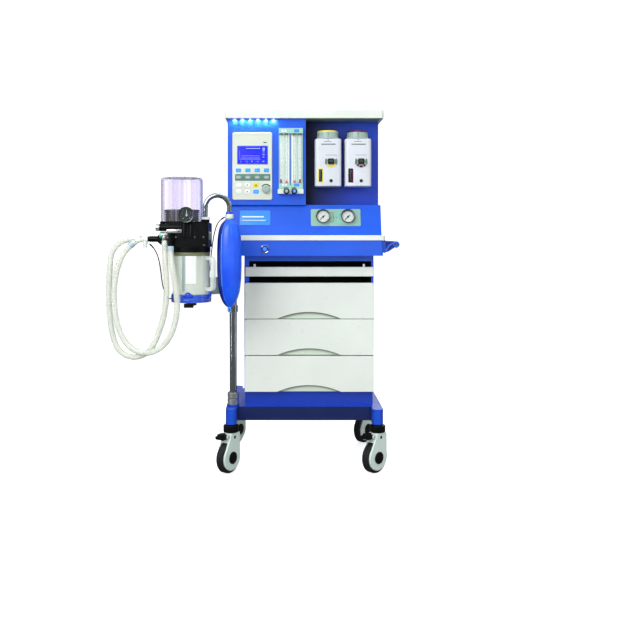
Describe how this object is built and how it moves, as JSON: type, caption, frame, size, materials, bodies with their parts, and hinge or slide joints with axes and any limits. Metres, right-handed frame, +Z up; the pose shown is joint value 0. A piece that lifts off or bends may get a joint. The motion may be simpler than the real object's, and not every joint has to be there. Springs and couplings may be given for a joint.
{
  "type": "anesthesia machine",
  "caption": "Anesthesia machine on a caster trolley with drawers, flowmeters, vaporizers, ventilator panel, swing-out absorber with bellows and canister, breathing bag and hose circuit.",
  "frame": {"origin": "on the floor, at the middle of the machine's footprint measured without its free hoses", "axes": "+Z up, the front with the drawers faces -Y, the push handle is towards +X and the absorber towards -X"},
  "size_m": [1.1304, 0.807, 1.457],
  "materials": {
    "blue_paint": "satin powder coat",
    "white_plastic": "satin moulded",
    "grey_plastic": "satin moulded",
    "clear_glass": "clear",
    "red_plastic": "gloss",
    "white_paint": "satin paint",
    "black_plastic": "satin moulded",
    "chrome": "polished",
    "grey_paint": "satin paint",
    "clear_plastic": "clear gloss",
    "black_rubber": "matt",
    "blue_plastic": "gloss",
    "blue_rubber": "satin",
    "hose_plastic": "translucent",
    "black_tyre": "matt"
  },
  "bodies": {
    "root": {"apron_box": "blue_paint", "base_frame": "blue_paint", "cabinet_shell": "blue_paint", "caster_stems": "black_plastic", "control_panel": "white_plastic", "flow_block": "grey_plastic", "flow_tubes": "clear_glass", "gas_console": "blue_paint", "gauge_cases": "chrome", "head_housing": "blue_paint", "pole": "chrome", "push_handle": "blue_paint", "rear_inlets": "chrome", "top_shelf": "white_plastic", "vaporizer_left": "white_paint", "vaporizer_right": "white_paint", "worktop": "white_plastic"},
    "caster_front_left": {"caster_fork_front_left": "white_plastic"},
    "wheel_front_left": {"caster_wheel_front_left": "black_tyre"},
    "pedal_front_left": {"caster_pedal_front_left": "black_plastic"},
    "caster_front_right": {"caster_fork_front_right": "white_plastic"},
    "wheel_front_right": {"caster_wheel_front_right": "black_tyre"},
    "pedal_front_right": {"caster_pedal_front_right": "black_plastic"},
    "caster_rear_left": {"caster_fork_rear_left": "white_plastic"},
    "wheel_rear_left": {"caster_wheel_rear_left": "black_tyre"},
    "pedal_rear_left": {"caster_pedal_rear_left": "black_plastic"},
    "caster_rear_right": {"caster_fork_rear_right": "white_plastic"},
    "wheel_rear_right": {"caster_wheel_rear_right": "black_tyre"},
    "pedal_rear_right": {"caster_pedal_rear_right": "black_plastic"},
    "drawer_bottom": {"drawer_bottom": "white_plastic"},
    "drawer_middle": {"drawer_middle": "white_plastic"},
    "drawer_top": {"drawer_top": "white_plastic"},
    "writing_tray": {"writing_tray": "white_plastic"},
    "oxygen_flush_button": {"oxygen_flush_button": "blue_plastic"},
    "control_knob": {"control_knob": "grey_plastic"},
    "flow_knob_air": {"flow_knob_air": "black_plastic"},
    "flow_knob_oxygen": {"flow_knob_oxygen": "black_plastic"},
    "flow_floats": {"flow_floats": "red_plastic"},
    "vaporizer_dial_left": {"vaporizer_dial_left": "grey_plastic"},
    "vaporizer_lock_left": {"vaporizer_lock_left": "black_plastic"},
    "vaporizer_dial_right": {"vaporizer_dial_right": "grey_plastic"},
    "vaporizer_lock_right": {"vaporizer_lock_right": "black_plastic"},
    "gauge_needle_pipeline": {"gauge_needle_pipeline": "black_plastic"},
    "gauge_needle_cylinder": {"gauge_needle_cylinder": "black_plastic"},
    "absorber": {"absorber_arm": "grey_paint", "absorber_block": "black_plastic", "manometer": "chrome", "bellows_dome": "clear_plastic", "bag_pipe": "chrome", "breathing_bag": "blue_rubber", "y_piece": "white_plastic", "hose_expiratory": "hose_plastic", "hose_inspiratory": "hose_plastic", "sampling_line": "black_rubber"},
    "manometer_needle": {"manometer_needle": "white_plastic"},
    "bellows": {"bellows": "black_rubber"},
    "apl_knob": {"apl_knob": "chrome"},
    "canister": {"canister": "clear_plastic", "clamp_cup": "blue_plastic"},
    "lift_lever": {"lift_lever": "black_plastic"}
  },
  "joints": [
    {"name": "caster_swivel_front_left", "type": "hinge", "parent": "root", "child": "caster_front_left", "pos_m": [-0.16195, -0.12449, 0.16], "axis": [0, 0, 1], "continuous": true},
    {"name": "wheel_spin_front_left", "type": "hinge", "parent": "caster_front_left", "child": "wheel_front_left", "pos_m": [-0.17202, -0.13941, 0.0625], "axis": [0.829, -0.5592, 0], "continuous": true},
    {"name": "brake_front_left", "type": "hinge", "parent": "caster_front_left", "child": "pedal_front_left", "pos_m": [-0.18432, -0.15765, 0.1485], "axis": [0.829, -0.5592, 0], "range_deg": [0, 18]},
    {"name": "caster_swivel_front_right", "type": "hinge", "parent": "root", "child": "caster_front_right", "pos_m": [0.42805, -0.12449, 0.16], "axis": [0, 0, 1], "continuous": true},
    {"name": "wheel_spin_front_right", "type": "hinge", "parent": "caster_front_right", "child": "wheel_front_right", "pos_m": [0.41467, -0.13653, 0.0625], "axis": [0.6691, -0.7431, 0], "continuous": true},
    {"name": "brake_front_right", "type": "hinge", "parent": "caster_front_right", "child": "pedal_front_right", "pos_m": [0.39832, -0.15126, 0.1485], "axis": [0.6691, -0.7431, 0], "range_deg": [0, 18]},
    {"name": "caster_swivel_rear_left", "type": "hinge", "parent": "root", "child": "caster_rear_left", "pos_m": [-0.16195, 0.35151, 0.16], "axis": [0, 0, 1], "continuous": true},
    {"name": "wheel_spin_rear_left", "type": "hinge", "parent": "caster_rear_left", "child": "wheel_rear_left", "pos_m": [-0.1704, 0.33562, 0.0625], "axis": [0.8829, -0.4695, 0], "continuous": true},
    {"name": "brake_rear_left", "type": "hinge", "parent": "caster_rear_left", "child": "pedal_rear_left", "pos_m": [-0.18073, 0.31619, 0.1485], "axis": [0.8829, -0.4695, 0], "range_deg": [0, 18]},
    {"name": "caster_swivel_rear_right", "type": "hinge", "parent": "root", "child": "caster_rear_right", "pos_m": [0.42805, 0.35151, 0.16], "axis": [0, 0, 1], "continuous": true},
    {"name": "wheel_spin_rear_right", "type": "hinge", "parent": "caster_rear_right", "child": "wheel_rear_right", "pos_m": [0.41648, 0.33772, 0.0625], "axis": [0.766, -0.6428, 0], "continuous": true},
    {"name": "brake_rear_right", "type": "hinge", "parent": "caster_rear_right", "child": "pedal_rear_right", "pos_m": [0.40234, 0.32087, 0.1485], "axis": [0.766, -0.6428, 0], "range_deg": [0, 18]},
    {"name": "drawer_bottom_slide", "type": "slide", "parent": "root", "child": "drawer_bottom", "axis": [0, -1, 0], "range_m": [0, 0.3]},
    {"name": "drawer_middle_slide", "type": "slide", "parent": "root", "child": "drawer_middle", "axis": [0, -1, 0], "range_m": [0, 0.3]},
    {"name": "drawer_top_slide", "type": "slide", "parent": "root", "child": "drawer_top", "axis": [0, -1, 0], "range_m": [0, 0.3]},
    {"name": "writing_tray_slide", "type": "slide", "parent": "root", "child": "writing_tray", "axis": [0, -1, 0], "range_m": [0, 0.26]},
    {"name": "oxygen_flush_press", "type": "slide", "parent": "root", "child": "oxygen_flush_button", "axis": [0, 1, 0], "range_m": [0, 0.006], "stiffness_N_per_m": 800},
    {"name": "control_knob_turn", "type": "hinge", "parent": "root", "child": "control_knob", "pos_m": [-0.02145, -0.12149, 1.137], "axis": [0, -1, 0], "continuous": true},
    {"name": "flow_knob_air_turn", "type": "hinge", "parent": "root", "child": "flow_knob_air", "pos_m": [0.06105, -0.14649, 1.127], "axis": [0, -1, 0], "range_deg": [0, 540]},
    {"name": "flow_knob_oxygen_turn", "type": "hinge", "parent": "root", "child": "flow_knob_oxygen", "pos_m": [0.09255, -0.14649, 1.127], "axis": [0, -1, 0], "range_deg": [0, 540]},
    {"name": "flow_floats_rise", "type": "slide", "parent": "root", "child": "flow_floats", "axis": [0, 0, 1], "range_m": [0, 0.185]},
    {"name": "vaporizer_dial_left_turn", "type": "hinge", "parent": "root", "child": "vaporizer_dial_left", "pos_m": [0.22905, -0.08149, 1.351], "axis": [0, 0, -1], "range_deg": [0, 270]},
    {"name": "vaporizer_lock_left_press", "type": "slide", "parent": "root", "child": "vaporizer_lock_left", "axis": [0, 1, 0], "range_m": [0, 0.005], "stiffness_N_per_m": 400},
    {"name": "vaporizer_dial_right_turn", "type": "hinge", "parent": "root", "child": "vaporizer_dial_right", "pos_m": [0.35025, -0.08149, 1.351], "axis": [0, 0, -1], "range_deg": [0, 270]},
    {"name": "vaporizer_lock_right_press", "type": "slide", "parent": "root", "child": "vaporizer_lock_right", "axis": [0, 1, 0], "range_m": [0, 0.005], "stiffness_N_per_m": 400},
    {"name": "gauge_needle_pipeline_swing", "type": "hinge", "parent": "root", "child": "gauge_needle_pipeline", "pos_m": [0.20905, -0.11958, 1.02636], "axis": [0, 0.9554, -0.2952], "range_deg": [0, 270], "stiffness_Nm_per_rad": 0.002},
    {"name": "gauge_needle_cylinder_swing", "type": "hinge", "parent": "root", "child": "gauge_needle_cylinder", "pos_m": [0.30965, -0.11958, 1.02636], "axis": [0, 0.9554, -0.2952], "range_deg": [0, 270], "stiffness_Nm_per_rad": 0.002},
    {"name": "absorber_swing", "type": "hinge", "parent": "root", "child": "absorber", "pos_m": [-0.15695, -0.07449, 0.716], "axis": [0, 0, 1], "range_deg": [-60, 0]},
    {"name": "manometer_needle_swing", "type": "hinge", "parent": "absorber", "child": "manometer_needle", "pos_m": [-0.31025, -0.37549, 1.0265], "axis": [0, 1, 0], "range_deg": [-120, 120], "stiffness_Nm_per_rad": 0.002},
    {"name": "bellows_rise", "type": "slide", "parent": "absorber", "child": "bellows", "axis": [0, 0, 1], "range_m": [0, 0.1], "deforming": ["bellows"]},
    {"name": "apl_knob_turn", "type": "hinge", "parent": "absorber", "child": "apl_knob", "pos_m": [-0.41165, -0.36149, 0.98], "axis": [-1, 0, 0], "range_deg": [0, 300]},
    {"name": "canister_drop", "type": "slide", "parent": "absorber", "child": "canister", "axis": [0, 0, -1], "range_m": [0, 0.012]},
    {"name": "lift_lever_turn", "type": "hinge", "parent": "canister", "child": "lift_lever", "pos_m": [-0.30045, -0.30649, 0.699], "axis": [0, 0, 1], "range_deg": [0, 90]}
  ],
  "couplings": [
    {"joint": "lift_lever_turn", "follows": "canister_drop", "rad_per_m": 130.9}
  ]
}
